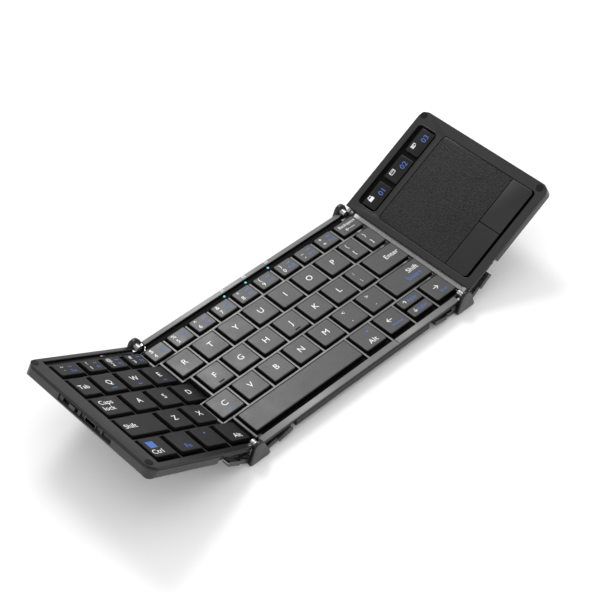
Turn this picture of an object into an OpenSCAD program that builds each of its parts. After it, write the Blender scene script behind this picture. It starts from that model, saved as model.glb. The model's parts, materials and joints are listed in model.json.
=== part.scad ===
/* [Panels] */
// Distance between the two hinge axes
axis_gap = 143.5; // [143.5:0.5:157]
// Length of a wing, from its hinge axis to its outer end
wing_len = 71.5; // [68:0.5:71.5]
// Depth of all three panels, from front to back
panel_depth = 89; // [81:1:97]
// Thickness of a panel, from its rim to its underside
panel_t = 6.2; // [6.2:0.2:8]
// How far both wings are raised from flat, in degrees
wing_raise = 30; // [0:5:60]
// Width of the front rim
front_rim = 3.6; // [3:0.2:4.4]
// Width of the rear rim
rear_rim = 2.7; // [2.2:0.1:3]
// Width of the outer rim of the left wing
side_rim = 7.8; // [6:0.2:9]
// Radius of the outer corners of the wings
wing_corner = 5; // [2:0.5:7]
// Thickness of the rim plate, above the seam
rim_t = 1.4; // [1.2:0.1:1.8]
// Thickness of the deck between the keys
deck_t = 0.8; // [0.6:0.1:1]
// Thickness of the shell walls
wall_t = 1.1; // [0.9:0.1:1.4]
// Thickness of the shell floors
floor_t = 0.8; // [0.6:0.1:1]
// Radius of the long lower edges
edge_r = 1.2; // [0.6:0.2:1.6]

/* [Keys] */
// Width of the Backspace cap
backspace_w = 14.4; // [13:0.1:16]
// Width of the first cap of the number row
escape_w = 14.8; // [13.4:0.05:16.2]
// Width of the Tab cap
tab_w = 11.05; // [10:0.05:12]
// Width of the Caps Lock cap
lock_w = 16.05; // [14.5:0.05:17.5]
// Width of the left Shift cap
shift_w = 24.35; // [22:0.05:26.5]
// Width of the left Ctrl cap
ctrl_w = 13.65; // [12.3:0.05:15]
// Depth of a number cap
number_d = 8.7; // [8:0.1:9]
// Width of the narrow caps beside P and L
narrow_w = 9.75; // [9:0.25:10.5]
// Depth of the black band behind the number row
band = 3.8; // [3.6:0.1:4.4]
// Depth of the channel between the front caps and the front rim
channel = 3.6; // [3:0.1:4]
// Gap between caps in a row
key_gap = 3.25; // [3:0.05:3.4]
// Gap between rows
row_gap = 3.35; // [3.1:0.05:3.5]
// Height of a cap
cap_h = 2; // [1.8:0.1:2.2]
// Travel of a key
key_travel = 1.2; // [0.8:0.1:1.2]
// Corner radius of a cap
cap_corner = 1.2; // [0.6:0.1:2]
// Gap between a cap and the deck round it
cap_clear = 1.1; // [0.9:0.05:1.2]
// First number cap, measured from the left hinge axis
number_start = 0.1; // [0:0.1:1]
// First cap of the upper letter row, from the left hinge axis
upper_start = 3.7; // [3:0.1:4.5]
// First cap of the home row, from the left hinge axis
home_start = 8.7; // [7.5:0.1:8.8]
// First cap of the lower letter row, from the left hinge axis
lower_start = 0; // [0:0.1:1]
// Space bar, from the left hinge axis
space_start = 6.3; // [5.5:0.1:6.6]

/* [Hinges] */
// Radius of the hinge pins
pin_r = 1; // [0.8:0.1:1.2]
// Running clearance of pins and rivets
run_clear = 0.05; // [0.02:0.01:0.08]
// Outer radius of the hinge barrels
barrel_r = 1.75; // [1.6:0.05:1.9]
// Radius of the round top of a spine's end plate
plate_r = 3.5; // [3:0.1:3.6]
// Thickness of a spine's end plate
plate_t = 2.1; // [1.8:0.1:2.4]
// Height of the hinge axis above the ground
axis_h = 8.75; // [8.75:0.05:9.5]
// Half the width of a spine's foot
spine_half = 6.5; // [6.3:0.1:7]
// Length of a link from rivet to guide
link_len = 16; // [14:0.5:16.5]
// Height of a link
link_h = 2.6; // [2:0.1:2.6]

/* [Touch pad] */
// Border of the touch pad at its outer end
pad_border = 6.1; // [5:0.1:8]
// Border in front of the click buttons
front_border = 4.7; // [4:0.1:6]
// Depth of the two click buttons
click_d = 14.2; // [12:0.2:15]
// Gap between two device buttons
device_gap = 3.05; // [2.5:0.05:3.5]
// Depth of a device button
device_d = 9; // [8:0.1:9.5]
// Travel of the click and device buttons
button_travel = 0.5; // [0.3:0.1:0.5]

/* [Hidden] */
$fn = 48;
eps = 0.01;
groove = 0.25;
axis_x = axis_gap / 2;
top = axis_h - 0.15;
under = top - panel_t;
half_d = panel_depth / 2;
outer_x = axis_x + wing_len;

// Layers under the caps, measured down from the rim
bed_gap = 0.1;
bed = cap_h + key_travel + bed_gap;
sheet_t = 0.3;
bed_z = top - bed - sheet_t;
plate_h = 0.4;
cap_skin = 0.9;
cap_wall = 0.9;
cap_flare = 0.3;
cap_bevel = 0.35;
ring_r = 1.75;
ring_bore = 1.15;
plunger_r = 0.85;
plunger_l = bed + sheet_t - key_travel - 0.05;

// Caps fill the centre panel: the widths from hinge to hinge, the depths from rim to rim
key_right = axis_x + 1.95;
cap_w = (key_right + axis_x - upper_start - 2 * narrow_w - 8 * key_gap) / 7;
number_w = (key_right + axis_x - number_start - backspace_w - 9 * key_gap) / 9;
cap_d = (panel_depth - rear_rim - band - number_d - channel - front_rim) / 4 - row_gap;

// Rows from the back to the front
number_y = half_d - rear_rim - band - number_d / 2;
upper_y = number_y - number_d / 2 - row_gap - cap_d / 2;
row_pitch = cap_d + row_gap;
row_y = [number_y, upper_y, upper_y - row_pitch, upper_y - 2 * row_pitch, upper_y - 3 * row_pitch];
row_d = [number_d, cap_d, cap_d, cap_d, cap_d];
row_start = [for (s = [number_start, upper_start, home_start, lower_start, space_start]) s - axis_x];
left_gap = 2.1;
key_left = side_rim + left_gap - outer_x;

function sum(v, n) = n <= 0 ? 0 : v[n - 1] + sum(v, n - 1);
function repeat(n, w) = [for (i = [1:n]) w];
function span(v) = sum(v, len(v)) + len(v) * key_gap;
function fill_right(start, v) = concat(v, [key_right - start - span(v)]);
function cap_x(start, v, k) = start + sum(v, k) + k * key_gap;

centre_caps = [
    fill_right(row_start[0], repeat(9, number_w)),
    fill_right(row_start[1], concat(repeat(7, cap_w), [narrow_w])),
    fill_right(row_start[2], concat(repeat(6, cap_w), [narrow_w])),
    fill_right(row_start[3], repeat(7, cap_w)),
    concat([key_right - row_start[4] - span(repeat(4, cap_w))], repeat(4, cap_w))
];
wing_end = [for (s = row_start) s - key_gap];
wing_count = [3, 3, 3, 2, 3];
first_w = [escape_w, tab_w, lock_w, shift_w, ctrl_w];
// the other caps of a wing row fill it up to the hinge
wing_w = [for (i = [0:4]) (wing_end[i] - key_left - first_w[i]) / wing_count[i] - key_gap];
wing_caps = [for (i = [0:4]) concat([first_w[i]], repeat(wing_count[i], wing_w[i]))];
arrow_gap = 1.6;
arrow_d = (cap_d - arrow_gap) / 2;
arrow_y = (arrow_d + arrow_gap) / 2;

// Edges of the panels beside the hinges
row_web = 0.9;
end_clear = 0.45;
end_web = 0.65;
open_gap = 1.1;
rim_stop = plate_r + 0.4;
rim_x = axis_x - rim_stop;
centre_right = key_right + end_clear + end_web;
centre_left = [for (e = wing_end) e + open_gap];
notch_x = max(centre_left);
main_end = min(wing_end);
right_edge = centre_right + 1.2;
wing_lip = 0.45;

// Stations along a hinge, measured from the middle of the keyboard
plate_in = half_d + 0.1;
plate_out = plate_in + plate_t;
knuckle_out = plate_in - 0.15;
knuckle_mid = knuckle_out - 1.9;
knuckle_in = knuckle_mid - 1.9;
knuckle_gap = 0.2;
pocket_len = 25.5;
leaf_in = 2.5;
leaf_len = pocket_len - leaf_in;
leaf_t = 0.8;
pocket_in = half_d - 2.9;
pocket_top = top - rim_t;
fit_gap = 0.05;
hinge_y = pocket_in - wall_t - fit_gap;

// Spines and links, measured from the hinge axis
foot_corner = 1.5;
web_t = 1;
tongue_t = 0.5;
tongue_root = 3;
rivet_x = 4.7;
rivet_z = -7;
rivet_r = 0.9;
neck_half = 2.9;
link_in = pocket_in + 0.2;
link_lug = plate_in - 0.2;
link_out = half_d + 0.9;
link_tab = 8.6;
link_end = 1.8;
link_tilt = 9;
link_ratio = 0.9;
socket_d = plate_t - 0.5;
end_play = 0.1;

// Touch pad wing, measured from the right hinge axis
pad_x = axis_x + 8.1;
pad_back = 20.4;
pad_y = half_d - pad_back;
pad_drop = 0.2;
pad_t = 1;
pad_line = 0.2;
click_gap = 1.5;
well_front = front_border - half_d;
click_y = well_front + click_gap + click_d;
pad_w = outer_x - pad_border - pad_x;
click_w = pad_w / 2;
well_r = 2.5;
sensor_t = 0.6;
sensor_in = 3;
ledge = 0.8;
shelf_t = 0.6;
shelf_z = top - 2;
slot_in = 1.1;
slot_x = pad_x + slot_in;
slot_w = pad_w - 2;
slot_back = 16.9;
slot_y = half_d - slot_back;
slot_d = 12.8;
device_x = slot_x + slot_in;
device_w = (slot_w - 3 * slot_in - 2 * device_gap) / 3;
device_pitch = device_w + device_gap;
device_y = slot_y + 0.9;
device_drop = 0.15;
button_t = 1.2;
peg_r = 1.2;
peg_clear = 0.2;
peg_l = 1.1;

// Small pieces
pad_r = 2;
bumper_h = 0.15;
foot_r = 4;
screw_r = 1.6;
screw_head = 0.6;
screw_l = bed_z - plate_h - 0.6 - under;
port_y = -3;
port_w = 7.6;
port_h = 2.4;
port_l = 5.2;
port_z = top - rim_t - deck_t - port_h / 2;
recess_d = 0.8;
recess_y = [-18.4, 19.2];
recess_z = [top - rim_t - 3.4, top - rim_t - 0.3];
port_bay = 7;
switch_y = 11.2;
switch_w = 4;
switch_travel = 3;
switch_back = 2.5;
switch_bay = (switch_w + switch_travel) / 2 + 1.7;
light_y = half_d - rear_rim - 1.6;
light_x = [-16, -1.3, 14.4];
light_r = 0.75;
battery_h = 2.6;
battery_in = [6, 2.1];
battery_end = [5.3, 6];
battery_low = [pad_x, click_y] + battery_in;
battery_high = [pad_x + pad_w, pad_y] - battery_end;
board_t = 0.8;
board_y = pocket_in - wall_t - 0.4;
board_end = 9;
board_gap = 0.5;
switch_half = 2;
seam_in = 50;
seam_x = key_right - seam_in;
seam_w = 1.2;
foot_in = [34, 12];
wing_foot_in = [14, 12];
bumper_in = [3, 2.7, 4.9];
rib_t = 1;
rib_y = [for (i = [0:3]) row_y[i] - (row_d[i] + row_gap) / 2];

// ---- shared shapes ----

// A box between two corners
module block(a, b) {
    translate(a) cube(b - a);
}

// A rectangle between two corners
module area(a, b) {
    translate(a) square(b - a);
}

// A centred rectangle with round corners
module rounded(w, d, r) {
    square([w - 2 * r, d], center = true);
    square([w, d - 2 * r], center = true);
    for (x = [-1, 1], y = [-1, 1]) translate([x * (w / 2 - r), y * (d / 2 - r)]) circle(r);
}

// A rounded rectangle given by its edges
module rounded_area(a, b, r) {
    translate((a + b) / 2) rounded(b[0] - a[0], b[1] - a[1], r);
}

// Both ends of a hinge, front and rear
module both_ends() {
    children();
    mirror([0, 1, 0]) children();
}

// Raises a wing from its flat place about its hinge axis
module raise_left() {
    translate([-axis_x, 0, axis_h]) rotate([0, wing_raise, 0]) translate([axis_x, 0, -axis_h]) children();
}

module raise_right() {
    translate([axis_x, 0, axis_h]) rotate([0, -wing_raise, 0]) translate([-axis_x, 0, -axis_h]) children();
}

// ---- key caps ----

// Side view of a cap: flared skirt and bevelled top edge
module cap_profile(w) {
    polygon([[-w / 2 - cap_flare, -cap_h], [w / 2 + cap_flare, -cap_h], [w / 2, -cap_bevel],
        [w / 2 - cap_bevel, 0], [cap_bevel - w / 2, 0], [-w / 2, -cap_bevel]]);
}

// A hollow cap with its plunger, top face at height 0
module cap(w, d) {
    difference() {
        intersection() {
            translate([0, 0, -cap_h]) linear_extrude(cap_h)
                rounded(w + 2 * cap_flare, d + 2 * cap_flare, cap_corner);
            rotate([90, 0, 0]) linear_extrude(d + 2, center = true) cap_profile(w);
            rotate([90, 0, 90]) linear_extrude(w + 2, center = true) cap_profile(d);
        }
        translate([0, 0, -cap_h - eps]) linear_extrude(cap_h - cap_skin + eps)
            square([w - 2 * cap_wall, d - 2 * cap_wall], center = true);
    }
    translate([0, 0, -plunger_l]) cylinder(r = plunger_r, h = plunger_l - cap_skin + eps);
}

// The caps of one row, from number a to number b
module row_caps(start, widths, row, a, b) {
    for (k = [a:b])
        translate([cap_x(start, widths, k) + widths[k] / 2, row_y[row], top]) cap(widths[k], row_d[row]);
}

module centre_keys(row, a, b) {
    color("dimgray") row_caps(row_start[row], centre_caps[row], row, a, b);
}

module left_keys(row, a, b) {
    color([0.2, 0.2, 0.21]) raise_left() row_caps(key_left, wing_caps[row], row, a, b);
}

// One of the two half-depth arrow caps, side 1 is the rear one
module half_arrow(side) {
    x = cap_x(row_start[4], centre_caps[4], 3) + cap_w / 2;
    color("dimgray") translate([x, row_y[4] + side * arrow_y, top]) cap(cap_w, arrow_d);
}

// Centres of all plungers of a panel's rows, as [x, y]
centre_points = concat(
    [for (i = [0:3], k = [0:len(centre_caps[i]) - 1])
        [cap_x(row_start[i], centre_caps[i], k) + centre_caps[i][k] / 2, row_y[i]]],
    [for (k = [0, 1, 2, 4])
        [cap_x(row_start[4], centre_caps[4], k) + centre_caps[4][k] / 2, row_y[4]]],
    [for (s = [-1, 1])
        [cap_x(row_start[4], centre_caps[4], 3) + cap_w / 2, row_y[4] + s * arrow_y]]
);
wing_points = [for (i = [0:4], k = [0:len(wing_caps[i]) - 1])
    [cap_x(key_left, wing_caps[i], k) + wing_caps[i][k] / 2, row_y[i]]];

// ---- outlines ----

// Outline of the centre panel, drawn in by e
module centre_outline(e) {
    area([notch_x + e, e - hinge_y], [centre_right - e, hinge_y - e]);
    area([notch_x + e, e - half_d], [rim_x - e, half_d - e]);
    for (s = [-1, 1]) translate([0, s * (half_d + hinge_y) / 2])
        square([2 * (rim_x - e), half_d - hinge_y - 2 * e], center = true);
    for (i = [0:4]) {
        lip = row_d[i] / 2 + cap_clear + (i == 0 ? 0.3 : row_web);
        area([centre_left[i] + e, row_y[i] - lip + e], [notch_x + 2, row_y[i] + lip - e]);
    }
}

// Outline of the left wing without its tongues, drawn in by e
module wing_block(e) {
    r = wing_corner - e;
    x0 = e - outer_x;
    intersection() {
        rounded_area([x0, e - half_d], [4 * wing_corner - axis_x, half_d - e], r);
        union() {
            area([x0, e - hinge_y], [main_end - e, hinge_y - e]);
            area([x0, -half_d], [-axis_x - rim_stop - e, half_d]);
        }
    }
}

// The tongues that carry the left wing's last caps across the hinge axis
module wing_tongues(e) {
    for (i = [0:4]) if (wing_end[i] > main_end + wall_t)
        area([main_end - tongue_root, row_y[i] - row_d[i] / 2 - wing_lip + e],
            [wing_end[i] - e, row_y[i] + row_d[i] / 2 + wing_lip - e]);
}

module right_outline(e) {
    intersection() {
        rounded_area([axis_x - 4 * wing_corner, e - half_d], [outer_x - e, half_d - e], wing_corner - e);
        area([right_edge + e, -half_d], [outer_x, half_d]);
    }
}

// Long bar with round lower edges, which rounds the front and rear edges of a shell
module edge_bar() {
    rotate([90, 0, 90]) linear_extrude(2 * outer_x + 2, center = true) {
        area([-half_d, under + edge_r], [half_d, top]);
        area([edge_r - half_d, under], [half_d - edge_r, top]);
        for (s = [-1, 1]) translate([s * (half_d - edge_r), under + edge_r]) circle(edge_r);
    }
}

// Bar across the keyboard, which rounds the outer lower edges of the wings
module end_bar() {
    rotate([90, 0, 0]) linear_extrude(panel_depth + 2, center = true) {
        area([-outer_x, under + edge_r], [outer_x, top]);
        area([edge_r - outer_x, under], [outer_x - edge_r, top]);
        for (s = [-1, 1]) translate([s * (outer_x - edge_r), under + edge_r]) circle(edge_r);
    }
}

// The pockets for the links, in direction s from the hinge axis at x
module link_pockets(x, s) {
    both_ends() block([min(x, x + s * pocket_len), pocket_in, under - 1],
        [max(x, x + s * pocket_len), half_d + 1, top]);
}

// The walls round those pockets, grown by e
module pocket_walls(x, s, e) {
    a = x + s * (rim_stop - e);
    b = x + s * (pocket_len + wall_t + e);
    both_ends() block([min(a, b), pocket_in - wall_t - e, under - e], [max(a, b), half_d + e, pocket_top]);
}

// The recesses for the steel leaves, just under the rim plate
module leaf_recesses(x, s) {
    both_ends() block([min(x, x + s * (leaf_len + 0.1)), knuckle_in, top - rim_t - leaf_t],
        [max(x, x + s * (leaf_len + 0.1)), half_d + 1, top]);
}

// The fine groove that shows the seam under the rim plate
module seam_groove() {
    both_ends() block([-outer_x - 1, half_d - groove, top - rim_t - groove],
        [outer_x + 1, half_d + 1, top - rim_t + eps]);
}

// Countersunk holes in the floor of a shell
module screw_holes(points) {
    for (p = points) translate([p[0], p[1], under - 1]) {
        cylinder(r = screw_r + 0.1, h = screw_head + 1);
        cylinder(r = screw_r / 2, h = floor_t + 2);
    }
}

// Screw places of a panel, as [x, y]
centre_screw_points = [for (x = [-0.86, 0, 0.86], s = [-1, 1]) [x * (rim_x - 6), s * (half_d - 5.5)]];
wing_screw_points = [for (s = [-1, 1]) [outer_x - 6, s * (half_d - 8)]];

// ---- centre panel ----

module centre_base() color([0.33, 0.33, 0.34]) difference() {
    union() {
        difference() {
            intersection() {
                translate([0, 0, under]) linear_extrude(panel_t - rim_t - deck_t) centre_outline(0);
                edge_bar();
            }
            translate([0, 0, under + floor_t]) linear_extrude(panel_t) centre_outline(wall_t);
            // low wall at the right end, so that the last caps can go down
            block([key_right - 1, -hinge_y, bed_z], [axis_x + spine_half, hinge_y, top]);
        }
        both_ends() block([-rim_x, half_d - wall_t, under + edge_r], [rim_x, half_d, top - rim_t]);
        intersection() {
            translate([0, 0, under]) linear_extrude(bed_z - plate_h - under) centre_outline(0);
            for (y = rib_y) block([notch_x + wall_t / 2, y - rib_t / 2, under + floor_t / 2],
                [centre_right - wall_t / 2, y + rib_t / 2, top]);
        }
        intersection() {
            for (s = [-1, 1]) pocket_walls(s * axis_x, -s, 0);
            edge_bar();
        }
    }
    for (s = [-1, 1]) {
        link_pockets(s * axis_x, -s);
        leaf_recesses(s * axis_x, -s);
    }
    screw_holes(centre_screw_points);
    seam_groove();
}

module centre_frame() color([0.42, 0.42, 0.43]) difference() {
    union() {
        block([-rim_x, half_d - rear_rim, top - rim_t], [rim_x, half_d, top]);
        block([-rim_x, -half_d, top - rim_t], [rim_x, front_rim - half_d, top]);
        translate([0, 0, top - rim_t - deck_t]) linear_extrude(deck_t + eps) intersection() {
            centre_outline(0);
            square([4 * axis_x, panel_depth - 2 * (wall_t + fit_gap)], center = true);
        }
    }
    block([-rim_x, front_rim - half_d, top - rim_t], [rim_x, half_d - rear_rim, top - rim_t + 1]);
    for (s = [-1, 1]) pocket_walls(s * axis_x, -s, fit_gap);
    translate([0, 0, top - rim_t - deck_t - 1]) linear_extrude(3) {
        for (i = [0:3], k = [0:len(centre_caps[i]) - 1])
            centre_hole(i, k, row_y[i] - row_d[i] / 2 - cap_clear);
        for (k = [0:4]) centre_hole(4, k, front_rim - half_d);
    }
    translate([seam_x, -half_d, top]) block([-seam_w / 2, -1, -0.5], [seam_w / 2, front_rim + 1, 1]);
    for (x = light_x) translate([x, light_y, top - rim_t - deck_t - 1]) cylinder(r = light_r + 0.1, h = 4);
}

// The hole in the deck for one cap of the centre panel, down to y
module centre_hole(i, k, y) {
    x = cap_x(row_start[i], centre_caps[i], k);
    last = k == len(centre_caps[i]) - 1;
    area([x - cap_clear, y], [x + centre_caps[i][k] + (last ? end_clear : cap_clear),
        row_y[i] + row_d[i] / 2 + cap_clear]);
}

module centre_key_plate() color("silver") translate([0, 0, bed_z - plate_h])
    linear_extrude(plate_h) sheet_area() centre_outline(wall_t + 0.2);

// Keeps a sheet between the pocket walls
module sheet_area() intersection() {
    children();
    square([4 * axis_x, 2 * (pocket_in - wall_t - 0.3)], center = true);
}

// A sheet with the rubber ring of every key, which the plungers enter
module dome_sheet(points) {
    difference() {
        union() {
            translate([0, 0, bed_z]) linear_extrude(sheet_t) children();
            for (p = points) translate([p[0], p[1], bed_z + sheet_t - eps])
                cylinder(r = ring_r, h = bed - cap_skin - key_travel - 0.1);
        }
        for (p = points) translate([p[0], p[1], bed_z - 1]) cylinder(r = ring_bore, h = 5);
    }
}

module centre_membrane() color("gainsboro") dome_sheet(centre_points)
    sheet_area() centre_outline(wall_t + 0.2);

// The board in the touch pad wing: two strips with the buttons' switches, joined beside the battery
module main_board() color("darkgreen") raise_right() {
    floor_z = under + floor_t;
    translate([0, 0, floor_z]) linear_extrude(board_t) difference() {
        area([right_edge + wall_t + 0.3, -board_y], [outer_x - board_end, board_y]);
        area(battery_low - [board_gap, board_gap], [outer_x, battery_high[1] + board_gap]);
    }
    for (x = [0, 1]) translate([click_x(x), click_y - click_d / 2, floor_z + board_t - eps])
        board_switch(top - pad_drop - button_t - peg_l);
    for (k = [0:2]) translate([device_x + device_w / 2 + k * device_pitch, device_y + device_d / 2,
        floor_z + board_t - eps]) board_switch(top - device_drop - button_t - peg_l);
}

// A switch on the board, which ends below a peg whose lower end is at height z
module board_switch(z) {
    h = z - button_travel - 0.05 - under - floor_t - board_t;
    block([-switch_half, -switch_half, 0], [switch_half, switch_half, h - 0.4]);
    cylinder(r = peg_r, h = h);
}

module centre_feet() color([0.12, 0.12, 0.12])
    for (x = [-1, 1], y = [-1, 1]) translate([x * (rim_x - foot_in[0]), y * (half_d - foot_in[1]), 0])
        cylinder(r = foot_r, h = under);

// Countersunk screws in the floor of a shell
module screws(points) {
    color("silver") for (p = points) translate([p[0], p[1], under]) difference() {
        union() {
            translate([0, 0, 0.1]) cylinder(r = screw_r, h = screw_head - 0.1);
            cylinder(r = screw_r / 2, h = screw_l);
        }
        translate([0, 0, 0.1]) block([-screw_r, -0.2, -1], [screw_r, 0.2, 0.25]);
    }
}

module centre_screws() screws(centre_screw_points);

module status_lights() color([0.3, 0.8, 0.9])
    for (x = light_x) translate([x, light_y, top - rim_t - deck_t]) cylinder(r = light_r, h = deck_t + 0.4);

// ---- hinges ----

module hinge_pins() color("silver") for (s = [-1, 1]) both_ends()
    translate([s * axis_x, knuckle_in, axis_h]) rotate([-90, 0, 0])
        cylinder(r = pin_r, h = plate_in + socket_d - end_play - knuckle_in);

// A steel barrel from y0 to y1 with its leaf, which runs under the rim in direction s
module leaf(s, y0, y1, bore) {
    difference() {
        union() {
            rotate([-90, 0, 0]) translate([0, 0, y0]) cylinder(r = barrel_r, h = y1 - y0);
            block([min(0.4 * s, s * (rim_stop + 1)), y0, top - rim_t - leaf_t - axis_h],
                [max(0.4 * s, s * (rim_stop + 1)), y1, -0.9]);
        }
        rotate([-90, 0, 0]) translate([0, 0, y0 - 1]) cylinder(r = bore, h = y1 - y0 + 2);
        block([min(rim_stop * s, s * leaf_len), y0 - 1, top - rim_t - axis_h],
            [max(rim_stop * s, s * leaf_len), y1 + 1, barrel_r + 1]);
    }
    block([min(s * (rim_stop + 0.5), s * leaf_len), min(y0, pocket_in), top - rim_t - leaf_t - axis_h],
        [max(s * (rim_stop + 0.5), s * leaf_len), knuckle_out, top - rim_t - axis_h]);
}

module centre_leaves() color("silver") for (s = [-1, 1]) both_ends()
    translate([s * axis_x, 0, axis_h]) leaf(-s, knuckle_mid + knuckle_gap / 2, knuckle_out, pin_r);

module wing_leaves(s) color("silver") both_ends()
    translate([s * axis_x, 0, axis_h])
        leaf(s, knuckle_in + knuckle_gap / 2, knuckle_mid - knuckle_gap / 2, pin_r + run_clear);

module left_leaves() raise_left() wing_leaves(-1);
module right_leaves() raise_right() wing_leaves(1);

// End view of a spine: round top about the axis, flat foot with round corners
module plate_outline() {
    a = spine_half - foot_corner;
    z = foot_corner - axis_h;
    // where the straight side leaves the corner and meets the round top
    d = norm([a, z]);
    dir = [a / d, z / d];
    turn = asin((plate_r - foot_corner) / d);
    base = atan2(-z, a);
    n = [cos(90 - base - turn), sin(90 - base - turn)];
    circle(plate_r);
    for (s = [-1, 1]) translate([s * a, z]) circle(foot_corner);
    polygon([[-n[0] * plate_r, n[1] * plate_r], [n[0] * plate_r, n[1] * plate_r],
        [a + n[0] * foot_corner, z + n[1] * foot_corner], [a, -axis_h], [-a, -axis_h],
        [-a - n[0] * foot_corner, z + n[1] * foot_corner]]);
}

// A spine with its axis along Y through the origin, seen with both end plates
module spine() color([0.3, 0.3, 0.31]) {
    difference() {
        both_ends() {
            translate([0, plate_out, 0]) rotate([90, 0, 0]) linear_extrude(plate_t) plate_outline();
            intersection() {
                translate([0, plate_in + eps, 0]) rotate([90, 0, 0])
                    linear_extrude(plate_in - pocket_in + 0.5) plate_outline();
                block([-neck_half, 0, -axis_h], [neck_half, half_d, web_t + 1.2 - axis_h]);
            }
        }
        both_ends() translate([0, plate_in - 1, 0]) rotate([-90, 0, 0]) {
            cylinder(r = pin_r + run_clear, h = socket_d + 1);
            for (s = [-1, 1]) translate([s * rivet_x, -rivet_z, 0])
                cylinder(r = rivet_r + run_clear, h = socket_d + 1);
        }
    }
    intersection() {
        translate([0, pocket_in - 0.1, 0]) rotate([90, 0, 0])
            linear_extrude(2 * (pocket_in - 0.1)) plate_outline();
        block([-2 * spine_half, -half_d, -axis_h], [2 * spine_half, half_d, web_t - axis_h]);
    }
}

module spine_left() translate([-axis_x, 0, axis_h]) spine();
module spine_right() translate([axis_x, 0, axis_h]) spine();

// A link at its rivet, turned up by angle, with the thick tab that guides it in the pocket
module link(s, angle) color([0.36, 0.36, 0.37]) both_ends()
    translate([s * rivet_x, 0, rivet_z]) mirror([s < 0 ? 1 : 0, 0, 0]) rotate([0, -angle, 0]) {
        rotate([-90, 0, 0]) translate([0, 0, link_in]) cylinder(r = link_h / 2, h = link_lug - link_in);
        rotate([-90, 0, 0]) translate([0, 0, link_in])
            cylinder(r = rivet_r, h = plate_in + socket_d - end_play - link_in);
        block([0, link_in, -link_h / 2], [link_tab + 1, link_lug, link_h / 2]);
        block([link_tab, link_in, -link_h / 2], [link_len + link_end - link_h / 2, link_out, link_h / 2]);
        translate([link_len + link_end - link_h / 2, link_in, 0]) rotate([-90, 0, 0])
            cylinder(r = link_h / 2, h = link_out - link_in);
    }

module link_left_inner() translate([-axis_x, 0, axis_h]) link(1, link_tilt);
module link_left_outer() translate([-axis_x, 0, axis_h]) link(-1, link_tilt + link_ratio * wing_raise);
module link_right_inner() translate([axis_x, 0, axis_h]) link(-1, link_tilt);
module link_right_outer() translate([axis_x, 0, axis_h]) link(1, link_tilt + link_ratio * wing_raise);

// ---- left wing ----

module left_base() color([0.3, 0.3, 0.31]) raise_left() difference() {
    union() {
        difference() {
            intersection() {
                translate([0, 0, under]) linear_extrude(panel_t - rim_t) wing_block(0);
                edge_bar();
                end_bar();
            }
            translate([0, 0, under + floor_t]) linear_extrude(panel_t) wing_block(wall_t);
            block([main_end - 2, -hinge_y, bed_z], [0, hinge_y, top]);
        }
        translate([0, 0, bed_z - tongue_t]) linear_extrude(tongue_t) wing_tongues(0);
        intersection() {
            translate([0, 0, under]) linear_extrude(bed_z - under) wing_block(0);
            for (y = rib_y) block([wall_t / 2 - outer_x, y - rib_t / 2, under + floor_t / 2],
                [main_end - wall_t / 2, y + rib_t / 2, top]);
        }
        intersection() {
            pocket_walls(-axis_x, -1, 0);
            edge_bar();
        }
        block([wall_t / 2 - outer_x, recess_y[0] - 1, under + floor_t / 2],
            [port_l + 0.6 - outer_x, recess_y[1] + 1, top - rim_t - deck_t]);
    }
    link_pockets(-axis_x, -1);
    leaf_recesses(-axis_x, -1);
    screw_holes([for (p = wing_screw_points) [-p[0], p[1]]]);
    seam_groove();
    block([-outer_x - 1, -half_d, top - rim_t - groove], [groove - outer_x, half_d, top - rim_t + eps]);
    side_recess();
}

// The long recess in the outer wall, with the places of the socket and the switch
module side_recess() {
    block([-outer_x - 1, recess_y[0], recess_z[0]], [recess_d - outer_x, recess_y[1], recess_z[1]]);
    block([-outer_x - 1, port_y - port_bay, recess_z[0] + 0.3],
        [2 * recess_d - outer_x, port_y + port_bay, recess_z[1] - 0.3]);
    block([-outer_x - 1, port_y - port_w / 2, port_z - port_h / 2],
        [port_l + 1 - outer_x, port_y + port_w / 2, port_z + port_h / 2]);
    block([-outer_x - 1, switch_y - switch_bay, recess_z[0] + 0.5],
        [switch_back + 0.1 - outer_x, switch_y + switch_bay, recess_z[1] - 0.5]);
    block([-outer_x - 1, recess_y[0] + 0.8, recess_z[0] + 0.5],
        [2 * recess_d - outer_x, port_y - port_bay - 1.4, recess_z[1] - 0.5]);
}

module left_frame() color([0.2, 0.2, 0.21]) raise_left() difference() {
    union() {
        translate([0, 0, top - rim_t]) linear_extrude(rim_t) difference() {
            wing_block(0);
            area([side_rim - outer_x, front_rim - half_d], [0, half_d - rear_rim]);
        }
        translate([0, 0, top - rim_t - deck_t]) linear_extrude(deck_t + eps) wing_block(wall_t + fit_gap);
    }
    block([side_rim - outer_x, front_rim - half_d, top - rim_t], [0, half_d - rear_rim, top - rim_t + 1]);
    pocket_walls(-axis_x, -1, fit_gap);
    translate([0, 0, top - rim_t - deck_t - 1]) linear_extrude(3)
        for (i = [0:4], k = [0:len(wing_caps[i]) - 1]) wing_hole(i, k);
}

// The hole in the deck for one cap of the left wing, open at both ends of a row
module wing_hole(i, k) {
    x = cap_x(key_left, wing_caps[i], k);
    last = k == len(wing_caps[i]) - 1;
    area([k == 0 ? side_rim - outer_x : x - cap_clear,
            i == 4 ? front_rim - half_d : row_y[i] - row_d[i] / 2 - cap_clear],
        [last ? 0 : x + wing_caps[i][k] + cap_clear, row_y[i] + row_d[i] / 2 + cap_clear]);
}

module left_membrane() color("gainsboro") raise_left() dome_sheet(wing_points) {
    sheet_area() difference() {
        wing_block(wall_t + 0.2);
        area([-outer_x, -half_d], [side_rim - outer_x, half_d]);
    }
    wing_tongues(0.1);
}

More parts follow.
